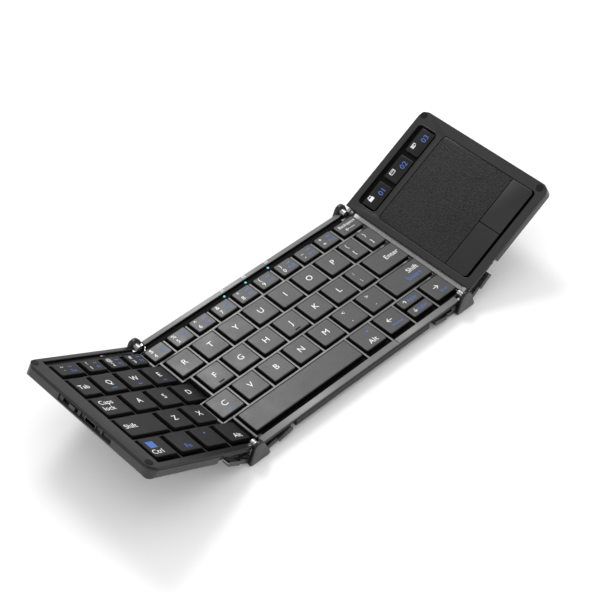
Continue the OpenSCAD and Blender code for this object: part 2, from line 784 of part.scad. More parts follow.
// Rubber pads of a wing: round stops on the rim and feet under the outer end
module wing_pads(s) color([0.1, 0.1, 0.1]) {
    for (y = [half_d - bumper_in[1], bumper_in[2] - half_d]) translate([s * (outer_x - bumper_in[0]), y, top])
        cylinder(r = pad_r, h = bumper_h);
    for (y = [-1, 1]) translate([s * (outer_x - wing_foot_in[0]), y * (half_d - wing_foot_in[1]), 0])
        cylinder(r = foot_r, h = under);
}

module left_pads() raise_left() wing_pads(-1);

module left_screws() raise_left() screws([for (p = wing_screw_points) [-p[0], p[1]]]);

module charge_port() color("silver") raise_left()
    translate([recess_d - outer_x, port_y, port_z]) difference() {
        block([0, -port_w / 2, -port_h / 2], [port_l, port_w / 2, port_h / 2]);
        block([-1, 0.3 - port_w / 2, 0.3 - port_h / 2], [port_l - 0.4, port_w / 2 - 0.3, port_h / 2 - 0.3]);
    }

module power_switch() color([0.12, 0.12, 0.12]) raise_left()
    translate([0, switch_y - switch_travel / 2, 0])
        block([0.2 - outer_x, -switch_w / 2, recess_z[0] + 0.6],
            [switch_back - outer_x, switch_w / 2, recess_z[1] - 0.6]);

// ---- right wing ----

module right_base() color([0.3, 0.3, 0.31]) raise_right() difference() {
    union() {
        difference() {
            intersection() {
                translate([0, 0, under]) linear_extrude(panel_t - rim_t) right_outline(0);
                edge_bar();
                end_bar();
            }
            translate([0, 0, under + floor_t]) linear_extrude(panel_t) right_outline(wall_t);
        }
        intersection() {
            pocket_walls(axis_x, 1, 0);
            edge_bar();
            block([right_edge, -half_d, under], [outer_x, half_d, top]);
        }
    }
    link_pockets(axis_x, 1);
    leaf_recesses(axis_x, 1);
    screw_holes(wing_screw_points);
    seam_groove();
    block([outer_x - groove, -half_d, top - rim_t - groove], [outer_x + 1, half_d, top - rim_t + eps]);
}

module right_frame() color([0.2, 0.2, 0.21]) raise_right() difference() {
    union() {
        translate([0, 0, top - rim_t]) linear_extrude(rim_t) right_outline(0);
        translate([0, 0, shelf_z - shelf_t]) linear_extrude(top - rim_t - shelf_z + shelf_t + eps)
            right_outline(wall_t + fit_gap);
    }
    pocket_walls(axis_x, 1, fit_gap);
    translate([0, 0, shelf_z]) linear_extrude(4) {
        rounded_area([pad_x, well_front], [pad_x + pad_w, click_y + 1], well_r);
        area([pad_x, click_y - click_d / 2], [pad_x + pad_w, click_y + 1]);
        rounded_area([slot_x, slot_y], [slot_x + slot_w, slot_y + slot_d], well_r);
    }
    translate([0, 0, top - pad_drop - pad_t]) linear_extrude(4)
        rounded_area([pad_x, well_front], [pad_x + pad_w, pad_y], well_r);
    block([pad_x + ledge, click_y + ledge, under], [pad_x + pad_w - ledge, pad_y - ledge, top]);
    for (x = [0, 1]) translate([click_x(x), click_y - click_d / 2, under])
        cylinder(r = peg_r + peg_clear, h = panel_t);
    for (k = [0:2]) translate([device_x + device_w / 2 + k * device_pitch, device_y + device_d / 2, under])
        cylinder(r = peg_r + peg_clear, h = panel_t);
}

module right_pads() raise_right() wing_pads(1);

module right_screws() raise_right() screws(wing_screw_points);

module battery() color([0.25, 0.3, 0.4]) raise_right()
    block(concat(battery_low, under + floor_t), concat(battery_high, under + floor_t + battery_h));

// The touch surface and the sensor board glued under it
module touch_pad() color([0.16, 0.16, 0.17]) raise_right() {
    translate([0, 0, top - pad_drop - pad_t]) linear_extrude(pad_t) intersection() {
        pad_plate();
        area([pad_x, click_y + pad_line / 2], [pad_x + pad_w, pad_y]);
    }
    translate([0, 0, top - pad_drop - pad_t - sensor_t])
        block([pad_x + sensor_in, click_y + sensor_in, 0],
            [pad_x + pad_w - sensor_in, pad_y - sensor_in, sensor_t]);
}

// Outline of the touch surface and the click buttons together
module pad_plate() {
    rounded_area([pad_x + pad_line, click_y - click_d], [pad_x + pad_w - pad_line, pad_y - pad_line],
        well_r - pad_line);
}

function click_x(side) = pad_x + pad_w / 2 + (side - 0.5) * click_w;

// A click button, side 0 is the left one
module click_button(side) color([0.18, 0.18, 0.19]) raise_right() {
    translate([0, 0, top - pad_drop - button_t]) linear_extrude(button_t) intersection() {
        pad_plate();
        translate([click_x(side), click_y - click_d / 2])
            square([click_w - pad_line, click_d - pad_line], center = true);
    }
    translate([click_x(side), click_y - click_d / 2, top - pad_drop - button_t - peg_l])
        cylinder(r = peg_r, h = peg_l + eps);
}

module click_left() click_button(0);
module click_right() click_button(1);

// A device button, counted from the hinge
module device_button(k) color([0.17, 0.17, 0.18]) raise_right()
    translate([device_x + k * device_pitch, device_y, top - device_drop - button_t]) {
        linear_extrude(button_t) rounded_area([0, 0], [device_w, device_d], 0.8);
        translate([device_w / 2, device_d / 2, -peg_l]) cylinder(r = peg_r, h = peg_l + eps);
    }

module device_1() device_button(0);
module device_2() device_button(1);
module device_3() device_button(2);

// ---- what is drawn ----

centre_base();
centre_frame();
centre_key_plate();
centre_membrane();
main_board();
centre_feet();
centre_screws();
status_lights();
hinge_pins();
centre_leaves();
spine_left();
spine_right();
link_left_inner();
link_left_outer();
link_right_inner();
link_right_outer();
left_base();
left_frame();
left_membrane();
left_leaves();
left_pads();
left_screws();
charge_port();
power_switch();
right_base();
right_frame();
right_leaves();
right_pads();
right_screws();
battery();
touch_pad();
click_left();
click_right();
device_1();
device_2();
device_3();
centre_keys(0, 0, 8);  // keys_number
centre_keys(0, 9, 9);  // key_backspace
centre_keys(1, 0, 8);  // keys_upper
centre_keys(2, 0, 6);  // keys_home
centre_keys(2, 7, 7);  // key_enter
centre_keys(3, 0, 6);  // keys_lower
centre_keys(3, 7, 7);  // key_shift_right
centre_keys(4, 0, 0);  // key_space
centre_keys(4, 1, 1);  // key_alt_right
centre_keys(4, 2, 2);  // key_arrow_left
half_arrow(1);  // key_arrow_up
half_arrow(-1);  // key_arrow_down
centre_keys(4, 4, 4);  // key_arrow_right
left_keys(0, 0, 3);  // keys_number_left
left_keys(1, 0, 0);  // key_tab
left_keys(1, 1, 3);  // keys_upper_left
left_keys(2, 0, 0);  // key_caps
left_keys(2, 1, 3);  // keys_home_left
left_keys(3, 0, 0);  // key_shift_left
left_keys(3, 1, 2);  // keys_lower_left
left_keys(4, 0, 0);  // key_ctrl
left_keys(4, 1, 1);  // key_fn
left_keys(4, 2, 2);  // key_meta
left_keys(4, 3, 3);  // key_alt_left
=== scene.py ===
"""Dresses a tri-fold pocket keyboard: painted shells, moulded caps with printed legends, steel hinges.

The keyboard's sizes are in millimetres and the studio's in metres. Angles are in degrees.
"""

import json
import math

import bmesh
import bpy
from mathutils import Euler, Matrix, Vector


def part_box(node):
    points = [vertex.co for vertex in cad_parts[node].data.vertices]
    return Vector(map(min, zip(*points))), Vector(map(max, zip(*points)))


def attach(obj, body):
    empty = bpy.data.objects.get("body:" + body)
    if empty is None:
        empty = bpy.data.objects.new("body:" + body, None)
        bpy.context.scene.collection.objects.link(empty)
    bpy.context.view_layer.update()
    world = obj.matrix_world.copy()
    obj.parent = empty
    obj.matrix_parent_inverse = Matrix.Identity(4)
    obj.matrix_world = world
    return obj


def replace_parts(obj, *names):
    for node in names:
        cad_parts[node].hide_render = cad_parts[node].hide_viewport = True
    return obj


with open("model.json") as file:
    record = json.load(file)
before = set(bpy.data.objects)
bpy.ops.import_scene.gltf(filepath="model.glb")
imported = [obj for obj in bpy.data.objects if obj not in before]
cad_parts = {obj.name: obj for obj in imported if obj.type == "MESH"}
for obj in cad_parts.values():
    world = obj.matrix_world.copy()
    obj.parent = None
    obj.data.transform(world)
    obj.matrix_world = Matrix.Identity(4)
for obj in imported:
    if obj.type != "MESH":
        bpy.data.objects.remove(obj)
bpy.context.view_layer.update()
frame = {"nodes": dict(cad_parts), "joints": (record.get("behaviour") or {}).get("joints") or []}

# Studio: a pale floor, a soft box behind and above, two weaker ones low at the sides, and an even sky.
# The first box stands where the flat centre panel mirrors it and the two raised wings don't.
FLOOR_SIZE = 6.0
FLOOR_TINT = (0.97, 0.97, 0.97)
FLOOR_ROUGH = 0.9
SKY = 0.92
CAMERA_PLACE = (-0.40475, -0.41554, 0.60875)
CAMERA_TURN = (44.7336, -0.2847, -43.8505)
CAMERA_LENS = 99.768


def plain_surface(name, colour, rough):
    """A plain shader for what isn't part of the keyboard."""
    surface = bpy.data.materials.new(name)
    surface.use_nodes = True
    shader = surface.node_tree.nodes["Principled BSDF"]
    shader.inputs["Base Color"].default_value = (*colour, 1)
    shader.inputs["Roughness"].default_value = rough
    return surface


def soft_box(name, azimuth, elevation, distance, size, power):
    """An area light that looks at the keyboard: azimuth 0 stands behind it and 90 to its right."""
    turn, tilt = math.radians(azimuth), math.radians(elevation)
    away = Vector((math.sin(turn) * math.cos(tilt), math.cos(turn) * math.cos(tilt), math.sin(tilt)))
    lamp = bpy.data.lights.new(name, "AREA")
    lamp.shape = "RECTANGLE"
    lamp.size, lamp.size_y = size
    lamp.energy = power
    stand = bpy.data.objects.new(name, lamp)
    stand.location = away * distance
    stand.rotation_euler = away.to_track_quat("Z", "Y").to_euler()
    bpy.context.scene.collection.objects.link(stand)


bpy.ops.mesh.primitive_plane_add(size=FLOOR_SIZE)
floor = bpy.context.object
floor.name = "studio_floor"
floor.data.materials.append(plain_surface("floor_paper", FLOOR_TINT, FLOOR_ROUGH))

soft_box("sheen_box", azimuth=27, elevation=50, distance=1.6, size=(0.5, 0.45), power=9)
soft_box("left_box", azimuth=285, elevation=16, distance=1.5, size=(1.0, 0.5), power=2.5)
soft_box("right_box", azimuth=95, elevation=16, distance=1.5, size=(1.0, 0.5), power=2.5)

world = bpy.data.worlds.new("even_sky")
world.use_nodes = True
world.node_tree.nodes["Background"].inputs["Color"].default_value = (1, 1, 1, 1)
world.node_tree.nodes["Background"].inputs["Strength"].default_value = SKY
bpy.context.scene.world = world
bpy.context.scene.view_settings.view_transform = "Standard"

lens = bpy.data.cameras.new("camera")
lens.lens = CAMERA_LENS
lens.sensor_width = 36
lens.clip_start = 0.01
camera = bpy.data.objects.new("camera", lens)
camera.location = CAMERA_PLACE
camera.rotation_euler = Euler([math.radians(angle) for angle in CAMERA_TURN])
bpy.context.scene.collection.objects.link(camera)
bpy.context.scene.camera = camera


# Bottom shells: thin moulded housings, painted with a fine spark texture that handling wears paler in patches.
# The frames are pressed into them and screwed on from below. The finish group gives every moulded or painted
# part its grain, its mottling and its faint handling marks.
MM = 0.001
MERGE_GAP = 0.002
LEVEL_GAP = 0.01
FLAT_TURN = 0.5
SHARP_TURN = 40
SHADE_TURN = 15
SQUARE_FACING = 0.999
nodes = frame["nodes"]


def finish_group():
    """Shader group: grain height, mottled roughness, and a shade that drifts in patches and specks."""
    group = bpy.data.node_groups.new("handled_finish", "ShaderNodeTree")
    socket = group.interface.new_socket
    for name in ("Grain Size", "Patch Size", "Roughness", "Variation", "Speckle"):
        socket(name, in_out="INPUT", socket_type="NodeSocketFloat")
    socket("Colour", in_out="INPUT", socket_type="NodeSocketColor")
    socket("Colour", in_out="OUTPUT", socket_type="NodeSocketColor")
    socket("Roughness", in_out="OUTPUT", socket_type="NodeSocketFloat")
    socket("Grain", in_out="OUTPUT", socket_type="NodeSocketFloat")
    add, link = group.nodes.new, group.links.new
    given, result = add("NodeGroupInput"), add("NodeGroupOutput")
    place = add("ShaderNodeTexCoord")

    def noise(size_socket, detail):
        """Noise whose blobs are as large as the given size."""
        inverse = add("ShaderNodeMath")
        inverse.operation = "DIVIDE"
        inverse.inputs[0].default_value = 1
        link(given.outputs[size_socket], inverse.inputs[1])
        texture = add("ShaderNodeTexNoise")
        texture.inputs["Detail"].default_value = detail
        link(place.outputs["Object"], texture.inputs["Vector"])
        link(inverse.outputs[0], texture.inputs["Scale"])
        return texture.outputs["Fac"]

    def swing(value, low, high, amount):
        """Spreads a noise value between minus and plus the given amount."""
        spread = add("ShaderNodeMapRange")
        link(value, spread.inputs["Value"])
        spread.inputs["From Min"].default_value = low
        spread.inputs["From Max"].default_value = high
        spread.inputs["To Min"].default_value = -1
        spread.inputs["To Max"].default_value = 1
        scaled = add("ShaderNodeMath")
        scaled.operation = "MULTIPLY"
        link(spread.outputs[0], scaled.inputs[0])
        link(given.outputs[amount], scaled.inputs[1])
        return scaled.outputs[0]

    def total(first, second):
        """The sum of two values."""
        node = add("ShaderNodeMath")
        node.operation = "ADD"
        link(first, node.inputs[0])
        link(second, node.inputs[1])
        return node.outputs[0]

    grain = noise("Grain Size", detail=2)
    drift = swing(noise("Patch Size", detail=5), low=0.3, high=0.7, amount="Variation")
    specks = swing(grain, low=0.35, high=0.65, amount="Speckle")
    tint = add("ShaderNodeHueSaturation")
    value = add("ShaderNodeMath")
    value.operation = "ADD"
    value.inputs[1].default_value = 1
    link(total(drift, specks), value.inputs[0])
    link(value.outputs[0], tint.inputs["Value"])
    link(given.outputs["Colour"], tint.inputs["Color"])
    link(tint.outputs[0], result.inputs["Colour"])
    link(total(given.outputs["Roughness"], drift), result.inputs["Roughness"])
    link(grain, result.inputs["Grain"])
    return group


handled = finish_group()


def finish(name, colour, rough, metal=0.0, grain=0.25, depth=0.01, patch=18, variation=0.05, speckle=0.08,
           gloss=0.5):
    """A material with the handled finish; grain, depth and patch are in millimetres."""
    material = bpy.data.materials.new(name)
    material.use_nodes = True
    tree = material.node_tree
    shader = tree.nodes["Principled BSDF"]
    shader.inputs["Metallic"].default_value = metal
    shader.inputs["Specular IOR Level"].default_value = gloss
    marks = tree.nodes.new("ShaderNodeGroup")
    marks.node_tree = handled
    marks.inputs["Colour"].default_value = (*colour, 1)
    for socket, value in (("Roughness", rough), ("Grain Size", grain * MM), ("Patch Size", patch * MM),
                          ("Variation", variation), ("Speckle", speckle)):
        marks.inputs[socket].default_value = value
    bump = tree.nodes.new("ShaderNodeBump")
    bump.inputs["Distance"].default_value = depth * MM
    bump.inputs["Strength"].default_value = 1
    tree.links.new(marks.outputs["Colour"], shader.inputs["Base Color"])
    tree.links.new(marks.outputs["Roughness"], shader.inputs["Roughness"])
    tree.links.new(marks.outputs["Grain"], bump.inputs["Height"])
    tree.links.new(bump.outputs[0], shader.inputs["Normal"])
    return material


def coat(material, *names):
    """Gives CAD nodes a material."""
    for name in names:
        mesh = nodes[name].data
        mesh.materials.clear()
        mesh.materials.append(material)


hinge_axes = {}
for joint in frame["joints"]:
    if joint["name"].startswith("wing_"):
        lift = math.radians(-joint["range_deg"][0])
        hinge_axes[joint["child"]] = (Vector(joint["pos_m"]), joint["axis"][1], lift)


def raised(wing):
    """The turn that takes a wing from flat to its place at rest."""
    if wing not in hinge_axes:
        return Matrix.Identity(4)
    axis, sense, angle = hinge_axes[wing]
    return Matrix.Translation(axis) @ Matrix.Rotation(sense * angle, 4, "Y") @ Matrix.Translation(-axis)


def flat_box(node, wing):
    """Lowest and highest corner of a CAD node with its wing laid flat, in metres."""
    points = [raised(wing).inverted() @ v.co for v in nodes[node].data.vertices]
    return [Vector([pick(p[k] for p in points) for k in range(3)]) for pick in (min, max)]


def put(name, mesh, wing, body=None):
    """A finished mesh, made flat, as a piece that stands on its wing and moves with it or with another body."""
    mesh.transform(raised(wing))
    piece = bpy.data.objects.new(name, mesh)
    bpy.context.scene.collection.objects.link(piece)
    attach(piece, body or wing)
    return piece


def eased_copy(node, wing, levels, paints, paint_of, body=None, paint_line=None):
    """Stands a copy in for a CAD node, with the sharp edges at each level (axis, place, ease) rounded over.

    The function paint_of picks each face's paint by its number. A paint line cuts the faces at an X, so that
    each side of it can have its own paint.
    """
    form = bmesh.new()
    form.from_mesh(nodes[node].data)
    form.transform(raised(wing).inverted())
    bmesh.ops.remove_doubles(form, verts=form.verts, dist=MERGE_GAP * MM)
    bmesh.ops.dissolve_limit(form, angle_limit=math.radians(FLAT_TURN), verts=form.verts, edges=form.edges)
    for axis, place, ease in levels:
        sharp = [e for e in form.edges if len(e.link_faces) == 2 and e.is_convex
                 and e.calc_face_angle() > math.radians(SHARP_TURN)
                 and all(abs(v.co[axis] - place) < LEVEL_GAP * MM for v in e.verts)]
        bmesh.ops.bevel(form, geom=sharp, offset=ease * MM, offset_type="OFFSET", segments=2, profile=0.5,
                        affect="EDGES", clamp_overlap=False)
    if paint_line is not None:
        bmesh.ops.bisect_plane(form, geom=form.verts[:] + form.edges[:] + form.faces[:],
                               plane_co=(paint_line * MM, 0, 0), plane_no=(1, 0, 0))
    bmesh.ops.triangulate(form, faces=form.faces)
    for face in form.faces:
        face.smooth = max(abs(part) for part in face.normal) < SQUARE_FACING
        face.material_index = paint_of(face)
    mesh = bpy.data.meshes.new(node + "_shell")
    form.to_mesh(mesh)
    form.free()
    for paint in paints:
        mesh.materials.append(paint)
    mesh.set_sharp_from_angle(angle=math.radians(SHADE_TURN))
    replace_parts(put(node + "_shell", mesh, wing, body), node)


shell_grey = finish("grey_shell_paint", (0.014, 0.014, 0.0145), 0.38, gloss=0.3)
shell_dark = finish("dark_shell_paint", (0.024, 0.024, 0.025), 0.36, gloss=0.4)
for node, wing, paint in (("centre_base", "centre", shell_grey), ("left_base", "wing_left", shell_dark),
                          ("right_base", "wing_right", shell_dark)):
    coat(paint, node)

# Top frames: moulded rims with a deck between the caps, pressed into the shells, with edges eased by the mould.
# The centre's is silver grey, painted lighter than the wings' charcoal as a painted sheen for the soft box's
# reflection on the flat centre panel; the wings' are a little lighter round the touch pad. The walls of the cap
# holes and the wells below the wings' rims are painted black as painted shade, and the centre's outer walls and
# its strip beside the right hinge are painted dark as painted shade.
RIM_HEIGHT = 1.4
RIM_WIDTH = 2
RIM_EASE = 0.3
DECK_EASE = 0.1
SIDE_RIM = 3
SHELF_DEPTH = 2
SHELF_GAP = 0.05
BARE_RIM = 0.2
STEPPED_EDGE = -62
RIGHT_EDGE = 70.5
UPRIGHT = 0.3
FACING_LEFT = -0.5
frame_top = flat_box("centre_frame", "centre")[1]
top = frame_top.z
deck = top - RIM_HEIGHT * MM
shelf = top - SHELF_DEPTH * MM
rim_inside = frame_top.y - RIM_WIDTH * MM
frame_levels = [(2, top, RIM_EASE), (2, deck, DECK_EASE)]
# Painted sheen: lighter than the wings' charcoal, for the soft box's reflection on the flat centre panel.
centre_sheen_grey = finish("centre_sheen_grey_plastic", (0.15, 0.15, 0.15), 0.33)
charcoal = finish("charcoal_plastic", (0.01, 0.01, 0.0105), 0.36, variation=0.03, gloss=0.22)
pad_frame_grey = finish("pad_frame_paint", (0.023, 0.023, 0.0235), 0.36, variation=0.03, gloss=0.22)
# Painted shade: near black for the cap holes' walls, the wells below the wings' rims and the plates' edges.
painted_shade_black = finish("painted_shade_black", (0.003, 0.003, 0.003), 0.6, speckle=0, gloss=0.1)


def centre_paint(face):
    """Grey (0) for the top and the stepped left edge; painted shade in black (1) for the cap holes' walls and
    in dark (2) outside.
    """
    middle = face.calc_center_median()
    wall = abs(face.normal.z) < UPRIGHT
    stepped = face.normal.x < FACING_LEFT and middle.x < STEPPED_EDGE * MM
    # Painted shade: the strip beside the right hinge, right of the paint line, is painted dark.
    if middle.x > RIGHT_EDGE * MM:
        return 2
    if not wall or stepped or middle.z > top - RIM_EASE * MM:
        return 0
    # Inside the rim the walls are painted black, outside it dark, both as painted shade.
    return 1 if abs(middle.y) < rim_inside else 2


def wing_paint(first_x, last_x):
    """Painted shade in black (1) for a wing's inner walls between two places in X and for the shelf below its
    rim.
    """
    def paint_of(face):
        middle = face.calc_center_median()
        wall = abs(face.normal.z) < UPRIGHT and middle.z < top - BARE_RIM * MM and abs(middle.y) < rim_inside
        return int(wall and first_x < middle.x < last_x or abs(middle.z - shelf) < SHELF_GAP * MM)
    return paint_of


eased_copy("centre_frame", "centre", frame_levels, (centre_sheen_grey, painted_shade_black, shell_grey), centre_paint,
           paint_line=RIGHT_EDGE)
left_wall = flat_box("left_frame", "wing_left")[0].x + SIDE_RIM * MM
eased_copy("left_frame", "wing_left", frame_levels, (charcoal, painted_shade_black), wing_paint(left_wall, math.inf))
right_wall = flat_box("right_frame", "wing_right")[1].x - SIDE_RIM * MM
eased_copy("right_frame", "wing_right", frame_levels[:1], (pad_frame_grey, painted_shade_black),
           wing_paint(-math.inf, right_wall))

# Under the caps: black membranes with a moulded rubber ring for the plunger of every cap.
# The centre's lies on a stamped steel plate that stiffens the panel.
coat(finish("black_membrane", (0.004, 0.004, 0.004), 0.6, gloss=0.1), "centre_membrane", "left_membrane")
coat(finish("key_plate_steel", (0.45, 0.45, 0.46), 0.35, metal=1), "centre_key_plate")

# Feet and stops: black rubber, set into the undersides and the frames' corners.
# Steel screws hold the shells to the frames from below.
coat(finish("black_rubber", (0.004, 0.004, 0.004), 0.6, grain=0.4, depth=0.02, gloss=0.15),
     "centre_feet", "left_pads", "right_pads")
coat(finish("screw_steel", (0.5, 0.5, 0.51), 0.3, metal=1), "centre_screws", "left_screws", "right_screws")

# Inside the right wing: a flat cell in metal foil beside a green circuit board.
# In the outer wall of the left wing: a pressed steel socket, painted dark as painted shade inside the port,
# and a moulded black slide.
coat(finish("cell_foil", (0.5, 0.52, 0.55), 0.35, metal=1), "battery")
coat(finish("board_green", (0.02, 0.12, 0.05), 0.35), "main_board")
# Painted shade: the socket's steel is painted dark for the shade inside the port.
coat(finish("socket_painted_shade", (0.1, 0.1, 0.1), 0.35, metal=1), "charge_port")
coat(finish("slide_black", (0.02, 0.02, 0.02), 0.4, grain=0.3, depth=0.03), "power_switch")

# Hinges: turned steel pins run through the rolled barrels of stamped steel leaves, whose ends are painted black
# as painted shade. Cast spines stand under the axes, painted black as painted shade but for their dark grey end
# plates. Painted links are pinned to them, with their tops in lighter bare steel as a painted highlight.
PLATE_EASE = 0.8
END_FACING = 0.9
TOP_FACING = 0.7
coat(finish("pin_chrome", (0.8, 0.8, 0.8), 0.15, metal=1, speckle=0), "hinge_pins")
leaf_steel = finish("leaf_steel", (0.35, 0.35, 0.36), 0.3, metal=1, speckle=0)
spine_paint = finish("spine_paint", (0.04, 0.04, 0.041), 0.3)
# Painted shade: near black for the leaves' ends and the spines' sides.
hinge_painted_shade = finish("hinge_painted_shade", (0.008, 0.008, 0.008), 0.3, gloss=0.3)
link_paint = finish("link_paint", (0.03, 0.03, 0.031), 0.3)
# Painted highlight: the links' tops are lighter steel than their dark painted sides.
link_highlight_steel = finish("link_highlight_steel", (0.45, 0.45, 0.46), 0.25, metal=1)
for node, wing in (("centre_leaves", "centre"), ("left_leaves", "wing_left"), ("right_leaves", "wing_right")):
    eased_copy(node, wing, [], (leaf_steel, hinge_painted_shade), lambda face: int(abs(face.normal.y) > END_FACING))
for node in ("spine_left", "spine_right"):
    low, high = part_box(node)
    eased_copy(node, node, [(1, low.y, PLATE_EASE), (1, high.y, PLATE_EASE)], (hinge_painted_shade, spine_paint),
               lambda face: int(abs(face.normal.y) > END_FACING))
for node in ("link_left_inner", "link_left_outer", "link_right_inner", "link_right_outer"):
    eased_copy(node, node, [], (link_paint, link_highlight_steel), lambda face: int(face.normal.z > TOP_FACING))

# Touch pad and click buttons: thin moulded plates, set a little below the rim, the pad with a leather grain.
# The device buttons behind them stand in a slot with a polished round lip.
PLATE_EDGE = 0.15
PLATE_TOP = 0.9
LEAST_CORNER = 0.05
LIP_PROFILE = [(0.0, -0.3), (0.05, 0.03), (0.3, 0.1), (0.75, 0.1), (1.0, 0.03), (1.05, -0.3)]
SLOT_ROUND = (1.1, 0.9, 2.9)
SLOT_CORNER = 2.5
CORNER_STEPS = 5
pad_skin = finish("pad_leather", (0.014, 0.014, 0.015), 0.36, grain=0.8, depth=0.18, speckle=0.6, gloss=0.2)
click_skin = finish("click_plastic", (0.021, 0.021, 0.022), 0.42, gloss=0.2)
button_skin = finish("button_plastic", (0.007, 0.007, 0.008), 0.36, gloss=0.2)
lip_gloss = finish("lip_gloss", (0.008, 0.008, 0.008), 0.25, speckle=0, gloss=0.4)
for node, body, skin in (("touch_pad", "wing_right", pad_skin), ("click_left", "click_left", click_skin),
                         ("click_right", "click_right", click_skin), ("device_1", "device_1", button_skin),
                         ("device_2", "device_2", button_skin), ("device_3", "device_3", button_skin)):
    # The plates' edges are painted black as painted shade in the gaps round them.
    eased_copy(node, "wing_right", [(2, flat_box(node, "wing_right")[1].z, PLATE_EDGE)], (skin, painted_shade_black),
               lambda face: int(face.normal.z < PLATE_TOP), body)


def rounded_ring(width, depth, corner, inset, height):
    """Points round a rectangle with round corners, in metres, drawn in by inset and raised to height in mm."""
    reach = max(corner - inset, LEAST_CORNER) * MM
    half_w, half_d = width / 2 - inset * MM - reach, depth / 2 - inset * MM - reach
    points = []
    for quarter, (sign_x, sign_y) in enumerate(((1, 1), (-1, 1), (-1, -1), (1, -1))):
        for step in range(CORNER_STEPS + 1):
            turn = math.pi / 2 * (quarter + step / CORNER_STEPS)
            points.append((sign_x * half_w + reach * math.cos(turn),
                           sign_y * half_d + reach * math.sin(turn), height * MM))
    return points


def band_faces(form, low, high):
    """Faces between two rings of points."""
    count = len(low)
    return [form.faces.new((low[i], low[(i + 1) % count], high[(i + 1) % count], high[i]))
            for i in range(count)]


def slot_lip():
    """The lip round the slot of the device buttons."""
    first, last = flat_box("device_1", "wing_right")[0], flat_box("device_3", "wing_right")[1]
    left, right = first.x - SLOT_ROUND[0] * MM, last.x + SLOT_ROUND[0] * MM
    front, rear = first.y - SLOT_ROUND[1] * MM, last.y + SLOT_ROUND[2] * MM
    form = bmesh.new()
    rings = [[form.verts.new(p) for p in rounded_ring(right - left, rear - front, SLOT_CORNER, -out, rise)]
             for out, rise in LIP_PROFILE]
    for low, high in zip(rings, rings[1:] + rings[:1]):
        for face in band_faces(form, low, high):
            face.smooth = True
    bmesh.ops.recalc_face_normals(form, faces=form.faces)
    mesh = bpy.data.meshes.new("slot_lip")
    form.to_mesh(mesh)
    form.free()
    mesh.transform(Matrix.Translation(((left + right) / 2, (front + rear) / 2, top)))
    mesh.materials.append(lip_gloss)
    put("slot_lip", mesh, "wing_right")


slot_lip()

# Key caps: hollow mouldings with a skirt painted black as painted shade, a painted top and a plunger that
# enters the membrane's ring.
# Each run of equal caps is one row of copies. The caps of a wing are made flat and raised with the wing.
CAP_CORNER = 1.0
CAP_GAP = 0.2
SAME_WIDTH = 0.02
CAP_RINGS = [(-0.3, -2.0), (-0.24, -1.7), (-0.02, -0.42), (0.03, -0.22), (0.12, -0.09), (0.26, -0.02),
             (0.5, 0.0)]
PAINTED_FROM = 3
CAP_HOLLOW = [(0.9, -0.9), (0.9, -2.0)]
PLUNGER_R = 0.85
PLUNGER_SIDES = 12
PLUNGER_SPAN = (-2.3, -0.8)


def cap_boxes(node, wing):
    """The flat boxes (left, right, front, rear, top) of a node's caps, in metres, from left to right."""
    flat = raised(wing).inverted()
    mesh = nodes[node].data
    points = [flat @ v.co for v in mesh.vertices]
    spans = sorted((min(points[v].x for v in p.vertices), max(points[v].x for v in p.vertices))
                   for p in mesh.polygons)
    caps = [list(spans[0])]
    for low, high in spans[1:]:
        if low > caps[-1][1] + CAP_GAP * MM:
            caps.append([low, high])
        else:
            caps[-1][1] = max(caps[-1][1], high)
    flare = -CAP_RINGS[0][0] * MM
    front, rear = min(p.y for p in points) + flare, max(p.y for p in points) - flare
    crown = max(p.z for p in points)
    return [(low + flare, high - flare, front, rear, crown) for low, high in caps]


def cap_mesh(width, depth):
    """A hollow cap whose top's middle is at the origin, with the faces that get paint marked as painted."""
    form = bmesh.new()
    painted = form.faces.layers.int.new("painted")
    rings = [[form.verts.new(p) for p in rounded_ring(width, depth, CAP_CORNER, inset, height)]
             for inset, height in CAP_HOLLOW + CAP_RINGS]
    for level, (low, high) in enumerate(zip(rings, rings[1:])):
        for face in band_faces(form, low, high):
            face[painted] = int(level >= len(CAP_HOLLOW) + PAINTED_FROM - 1)
            face.smooth = True
    form.faces.new(rings[-1])[painted] = 1
    form.faces.new(reversed(rings[0]))
    foot, root = PLUNGER_SPAN
    bmesh.ops.create_cone(form, cap_ends=True, segments=PLUNGER_SIDES, radius1=PLUNGER_R * MM,
                          radius2=PLUNGER_R * MM, depth=(root - foot) * MM,
                          matrix=Matrix.Translation((0, 0, (foot + root) / 2 * MM)))
    mesh = bpy.data.meshes.new("cap_master")
    form.to_mesh(mesh)
    form.free()
    return mesh


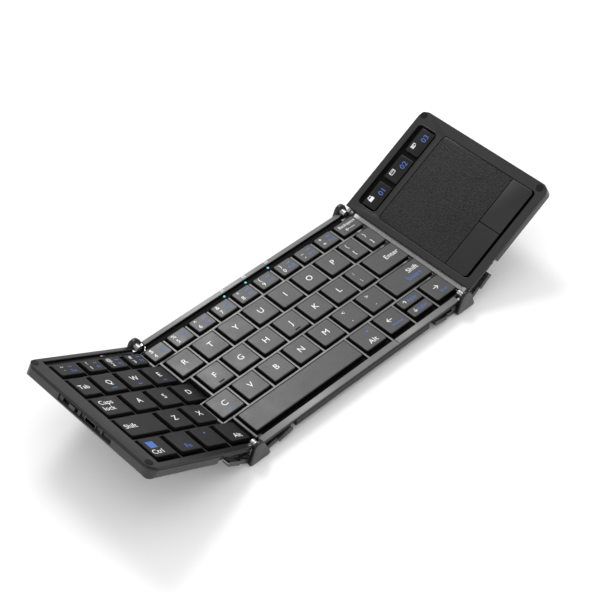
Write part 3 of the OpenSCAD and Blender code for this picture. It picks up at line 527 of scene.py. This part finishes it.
def row_tree():
    """Geometry nodes that set out equal caps in a row along X and paint their tops."""
    tree = bpy.data.node_groups.new("cap_row", "GeometryNodeTree")
    socket = tree.interface.new_socket
    socket("Geometry", in_out="OUTPUT", socket_type="NodeSocketGeometry")
    kinds = {"Cap": "Object", "Count": "Int", "Pitch": "Float", "Start": "Vector", "Paint": "Material"}
    ids = {name: socket(name, in_out="INPUT", socket_type="NodeSocket" + kind).identifier
           for name, kind in kinds.items()}
    add, link = tree.nodes.new, tree.links.new
    given, result = add("NodeGroupInput"), add("NodeGroupOutput")
    pitch = add("ShaderNodeCombineXYZ")
    line = add("GeometryNodeMeshLine")
    cap = add("GeometryNodeObjectInfo")
    copies = add("GeometryNodeInstanceOnPoints")
    real = add("GeometryNodeRealizeInstances")
    painted = add("GeometryNodeInputNamedAttribute")
    painted.data_type = "BOOLEAN"
    painted.inputs["Name"].default_value = "painted"
    paint = add("GeometryNodeSetMaterial")
    unmarked = add("GeometryNodeRemoveAttribute")
    unmarked.inputs["Name"].default_value = "painted"
    link(given.outputs["Pitch"], pitch.inputs["X"])
    link(given.outputs["Count"], line.inputs["Count"])
    link(given.outputs["Start"], line.inputs["Start Location"])
    link(pitch.outputs[0], line.inputs["Offset"])
    link(given.outputs["Cap"], cap.inputs["Object"])
    link(line.outputs["Mesh"], copies.inputs["Points"])
    link(cap.outputs["Geometry"], copies.inputs["Instance"])
    link(copies.outputs[0], real.inputs[0])
    link(real.outputs[0], paint.inputs["Geometry"])
    link(given.outputs["Paint"], paint.inputs["Material"])
    link(painted.outputs["Attribute"], paint.inputs["Selection"])
    link(paint.outputs[0], unmarked.inputs["Geometry"])
    link(unmarked.outputs[0], result.inputs["Geometry"])
    return tree, ids


cap_row, cap_row_ids = row_tree()
# Painted shade: the caps' skirts are near black for the shade on their sides; the home bars wear it too.
skirt_black = finish("skirt_black", (0.004, 0.004, 0.004), 0.5, gloss=0.12)
cap_grain = {"grain": 0.35, "depth": 0.012, "patch": 9}
# Painted sheen: the centre's caps are lighter than the wings' dark caps, for the soft box's reflection on the
# panel.
centre_sheen_cap_paint = finish("centre_sheen_cap_paint", (0.045, 0.045, 0.046), 0.36, speckle=0.2, gloss=0.42, **cap_grain)
dark_paint = finish("dark_cap_paint", (0.008, 0.008, 0.0085), 0.38, speckle=0.3, gloss=0.17, **cap_grain)


def evaluated(piece):
    """The mesh of a piece with its modifiers applied."""
    bpy.context.view_layer.update()
    seen = piece.evaluated_get(bpy.context.evaluated_depsgraph_get())
    return bpy.data.meshes.new_from_object(seen)


def joined(name, meshes):
    """One mesh from several that share their materials."""
    whole = bmesh.new()
    for mesh in meshes:
        whole.from_mesh(mesh)
    result = bpy.data.meshes.new(name)
    whole.to_mesh(result)
    whole.free()
    for material in meshes[0].materials:
        result.materials.append(material)
    return result


def dress_keys(node, wing, paint):
    """Stands rows of finished caps in for a CAD key node."""
    boxes = cap_boxes(node, wing)
    runs = []
    for box in boxes:
        width = box[1] - box[0]
        if runs and abs(runs[-1][0] - width) < SAME_WIDTH * MM:
            runs[-1][1].append(box)
        else:
            runs.append((width, [box]))
    meshes = []
    for width, run in runs:
        left, right, front, rear, crown = run[0]
        master = bpy.data.objects.new("cap_master", cap_mesh(width, rear - front))
        master.data.materials.append(skirt_black)
        row = bpy.data.objects.new("cap_run", bpy.data.meshes.new("cap_run"))
        for piece in (master, row):
            bpy.context.scene.collection.objects.link(piece)
        modifier = row.modifiers.new("row", "NODES")
        modifier.node_group = cap_row
        modifier[cap_row_ids["Cap"]] = master
        modifier[cap_row_ids["Count"]] = len(run)
        modifier[cap_row_ids["Pitch"]] = (run[-1][0] - left) / (len(run) - 1) if len(run) > 1 else 0.0
        modifier[cap_row_ids["Start"]] = ((left + right) / 2, (front + rear) / 2, crown)
        modifier[cap_row_ids["Paint"]] = paint
        meshes.append(evaluated(row))
        bpy.data.objects.remove(row)
        bpy.data.objects.remove(master)
    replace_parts(put(node + "_caps", joined(node + "_caps", meshes), wing, node), node)
    return boxes


# Printed legends: thin layers of ink on the caps, white for the main sign and blue for the second function.
# The marks of a row stand in the order of its caps, each as (text, x, y, height, ink) from its cap's middle.
INK_LIFT = 0.012
INK_HEIGHT = 0.01
EM_PER_HEIGHT = 1.38
LETTER = 3.5
SMALL = 2.5
WORD = 3.1
TINY = 2.0
DOTS_FRONT = -4.6
NUMBER_SHIFTED = (-2.7, 2.1)
NUMBER_SIGN = (-2.7, -1.7)
NUMBER_FUNCTION = (2.4, -1.6)
NUMBER_DOTS = (2.4, 1.7)
PAIR_SHIFTED = (-1.6, 3.4)
PAIR_SIGN = (-1.6, -2.6)


def ink(name, colour):
    """A flat printing ink."""
    return finish(name, colour, 0.5, grain=0.4, depth=0.002, patch=2, variation=0.08)


inks = {"white": ink("white_ink", (0.85, 0.85, 0.85)), "blue": ink("blue_ink", (0.045, 0.13, 0.45))}


def letter(sign, blue=""):
    """A letter in the middle of its cap, with the dots of its second function in front."""
    return [(sign, 0, 0, LETTER, "white")] + [(blue, 0, DOTS_FRONT, SMALL, "blue")] * bool(blue)


def number(shifted, sign, function):
    """A number cap: two white signs on the left and the blue function on the right."""
    return [(shifted, *NUMBER_SHIFTED, SMALL, "white"), (sign, *NUMBER_SIGN, SMALL, "white"),
            (function, *NUMBER_FUNCTION, TINY, "blue"), ("••", *NUMBER_DOTS, SMALL, "blue")]


def pair(shifted, sign):
    """A cap with two white signs, one behind the other."""
    return [(shifted, *PAIR_SHIFTED, SMALL, "white"), (sign, *PAIR_SIGN, SMALL, "white")]


def word(text, x, y, size=WORD, colour="white"):
    """A single word or sign."""
    return [(text, x, y, size, colour)]


CENTRE_PRINT = {
    "keys_number": [number(shifted, sign, f"F{k}")
                    for k, (shifted, sign) in enumerate(zip("$%^&*()_+", "4567890-="), 4)],
    "key_backspace": word("Backspace", 0.2, 1.7, TINY) + word("←—", -0.4, -1.7, SMALL),
    "keys_upper": [letter(sign) for sign in "RTYUIOP"] + [pair("{", "["), pair("}", "]")],
    "keys_home": [letter(sign) for sign in "FGHJKL"] + [pair(":", ";")],
    "key_enter": word("Enter", 4.3, 0.1),
    "keys_lower": [letter("C", "•••")] + [letter(sign) for sign in "VBNM"]
    + [pair("<", ","), pair(">", ".")],
    "key_shift_right": word("Shift", 6.9, 1.9) + word("Insert", 4.2, -2.4, WORD, "blue"),
    "key_space": [],
    "key_alt_right": word("Alt", 0.6, -3.4) + word("•", 2.6, 2.8, LETTER, "blue"),
    "key_arrow_left": word("←", -0.8, 0.6, LETTER) + word("Home", 1.2, -3.2, TINY, "blue"),
    "key_arrow_up": word("↑", -3.2, 0, SMALL) + word("PgUp", 1.6, -0.2, TINY, "blue"),
    "key_arrow_down": word("↓", -3.2, 0, SMALL) + word("PgDn", 1.6, -0.2, TINY, "blue"),
    "key_arrow_right": word("→", -0.8, 0.6, LETTER) + word("End", 1.2, -3.2, TINY, "blue"),
}
LEFT_PRINT = {
    "keys_number_left": [number("~", "`", "Esc")]
    + [number(shifted, str(k), f"F{k}") for k, shifted in enumerate("!@#", 1)],
    "key_tab": word("Tab", -1, -0.6),
    "keys_upper_left": [letter("Q", "•••"), letter("W", "••"), letter("E", "••")],
    "key_caps": word("Caps", -1.6, 2.6) + word("lock", -3.0, -1.9),
    "keys_home_left": [letter(sign) for sign in "ASD"],
    "key_shift_left": word("Shift", -7, 0),
    "keys_lower_left": [letter(sign) for sign in "ZX"],
    "key_ctrl": word("Ctrl", -2.6, -3.4) + word("■", -2.2, 1.4, 4.6, "blue"),
    "key_fn": word("Fn", 0.4, -3.6, WORD, "blue"),
    "key_meta": word("•", 0, 2.5, LETTER, "blue"),
    "key_alt_left": word("Alt", 0.4, -3.4),
}


def print_mesh(text, size, place):
    """A word as a thin mesh, with its middle at the given place."""
    curve = bpy.data.curves.new("print", "FONT")
    curve.body = text
    curve.size = size * EM_PER_HEIGHT * MM
    curve.align_x = "CENTER"
    curve.align_y = "CENTER"
    curve.extrude = INK_HEIGHT / 2 * MM
    curve.resolution_u = 3
    writing = bpy.data.objects.new("print", curve)
    bpy.context.scene.collection.objects.link(writing)
    mesh = evaluated(writing)
    bpy.data.objects.remove(writing)
    mesh.materials.clear()
    mesh.transform(Matrix.Translation(place))
    return mesh


def print_on(name, wing, body, boxes, marks):
    """Prints the marks of each flat box (left, right, front, rear, top) on a body, one piece for each ink."""
    meshes = {colour: [] for colour in inks}
    for (left, right, front, rear, crown), own_marks in zip(boxes, marks):
        for text, x, y, size, colour in own_marks:
            place = Vector(((left + right) / 2 + x * MM, (front + rear) / 2 + y * MM, crown + INK_LIFT * MM))
            meshes[colour].append(print_mesh(text, size, place))
    for colour, layers in meshes.items():
        if layers:
            mesh = joined(f"{name}_{colour}_print", layers)
            mesh.materials.append(inks[colour])
            put(f"{name}_{colour}_print", mesh, wing, body)


def bar_mesh(name, bars, height):
    """Thin plates, each given by its left, front, right and rear edge in mm, from 0 up to a height."""
    form = bmesh.new()
    for left, front, right, rear in bars:
        corners = bmesh.ops.create_cube(form, size=1)["verts"]
        for v in corners:
            v.co = Vector(((left + right) / 2 + v.co.x * (right - left),
                           (front + rear) / 2 + v.co.y * (rear - front), (v.co.z + 0.5) * height)) * MM
    mesh = bpy.data.meshes.new(name)
    form.to_mesh(mesh)
    form.free()
    return mesh


key_boxes = {}
for prints, wing, paint in ((CENTRE_PRINT, "centre", centre_sheen_cap_paint), (LEFT_PRINT, "wing_left", dark_paint)):
    for node, marks in prints.items():
        key_boxes[node] = dress_keys(node, wing, paint)
        print_on(node, wing, node, key_boxes[node], [marks] if len(key_boxes[node]) == 1 else marks)

# Home bars: low plates that a finger finds on F and J, moulded near the front of their caps.
# They are skirt black and move with the home row.
HOME_BAR = (3.2, 0.5, 0.22)
HOME_BAR_Y = -5.3
for name, place in (("home_bar_f", 0), ("home_bar_j", 3)):
    left, right, front, rear, crown = key_boxes["keys_home"][place]
    half = HOME_BAR[0] / 2
    mesh = bar_mesh(name, [(-half, HOME_BAR_Y, half, HOME_BAR_Y + HOME_BAR[1])], HOME_BAR[2])
    mesh.transform(Matrix.Translation(((left + right) / 2, (front + rear) / 2, crown)))
    mesh.materials.append(skirt_black)
    put(name, mesh, "centre", "keys_home")

# Marks of the device buttons: a white sign at the left of each and a blue number at its right.
# They are printed in the inks of the caps, the signs as thin bars.
ICON_PLACE = (-3.3, 1.9)
NUMERAL_PLACE = (3.3, -0.9)
NUMERAL = 3.3
ICON_BARS = [
    [(-1.5, -1.5, 1.5, 0.4), (-1.1, 0.4, -0.7, 1.5), (0.7, 0.4, 1.1, 1.5), (-1.1, 1.3, 1.1, 1.7)],
    [(-1.7, -1.2, 1.7, -0.9), (-1.7, 0.9, 1.7, 1.2), (-1.7, -1.2, -1.4, 1.2), (1.4, -1.2, 1.7, 1.2),
     (-1.4, 0.1, 1.4, 0.4)],
    [(-1.6, -1.0, 0.8, -0.5), (-1.6, -0.2, 0.2, 0.3), (-1.6, 0.6, 1.6, 1.1), (1.2, -0.4, 1.6, 1.1)],
]
for k, bars in enumerate(ICON_BARS):
    node = f"device_{k + 1}"
    low, high = flat_box(node, "wing_right")
    middle = (low + high) / 2
    mesh = bar_mesh(node + "_sign", bars, INK_HEIGHT)
    mesh.transform(Matrix.Translation((middle.x + ICON_PLACE[0] * MM, middle.y + ICON_PLACE[1] * MM,
                                       high.z + INK_LIFT * MM)))
    mesh.materials.append(inks["white"])
    put(node + "_sign", mesh, "wing_right", node)
    print_on(node, "wing_right", node, [(low.x, high.x, low.y, high.y, high.z)],
             [word(f"0{k + 1}", *NUMERAL_PLACE, NUMERAL, "blue")])

# Status lights: a thin matt black window lies on the deck behind the number row, and three round lenses stand
# in it. Their numbers are printed in white on the rim behind them.
BAND_FRONT = 38.3
BAND_REAR = 41.78
BAND_HALF = 67.8
BAND_THICK = 0.03
BAND_LIFT = 0.005
LENS_R = 0.7
LENS_SHIFT = 0.35
LENS_RISE = 0.45
LABEL = 1.7
LABEL_PLACE = (1.2, 3.2)
window = bar_mesh("light_window", [(-BAND_HALF, BAND_FRONT, BAND_HALF, BAND_REAR)], BAND_THICK)
window.transform(Matrix.Translation((0, 0, deck + BAND_LIFT * MM)))
window.materials.append(finish("window_black", (0.002, 0.002, 0.002), 0.5, speckle=0, gloss=0.04))
put("light_window", window, "centre")
light_low, light_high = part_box("status_lights")
light_y = (light_low.y + light_high.y) / 2
light_spans = cap_boxes("status_lights", "centre")
lit = finish("lit_lens", (0.12, 0.5, 0.62), 0.2, speckle=0)
lit_shader = lit.node_tree.nodes["Principled BSDF"]
lit_shader.inputs["Emission Color"].default_value = (0.1, 0.5, 0.65, 1)
lit_shader.inputs["Emission Strength"].default_value = 0.5
lens_flattening = Matrix.Diagonal((1, 1, LENS_RISE / LENS_R, 1))
form = bmesh.new()
for left, right, *_ in light_spans:
    place = Matrix.Translation(((left + right) / 2, light_y + LENS_SHIFT * MM, deck))
    bmesh.ops.create_uvsphere(form, u_segments=16, v_segments=10, radius=LENS_R * MM,
                              matrix=place @ lens_flattening)
for face in form.faces:
    face.smooth = True
lenses = bpy.data.meshes.new("light_lenses")
form.to_mesh(lenses)
form.free()
lenses.materials.append(lit)
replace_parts(put("light_lenses", lenses, "centre"), "status_lights")
print_on("rim", "centre", "centre", [(left, right, light_y, light_y, top) for left, right, *_ in light_spans],
         [word(f"0{k}", *LABEL_PLACE, LABEL) for k in (1, 2, 3)])
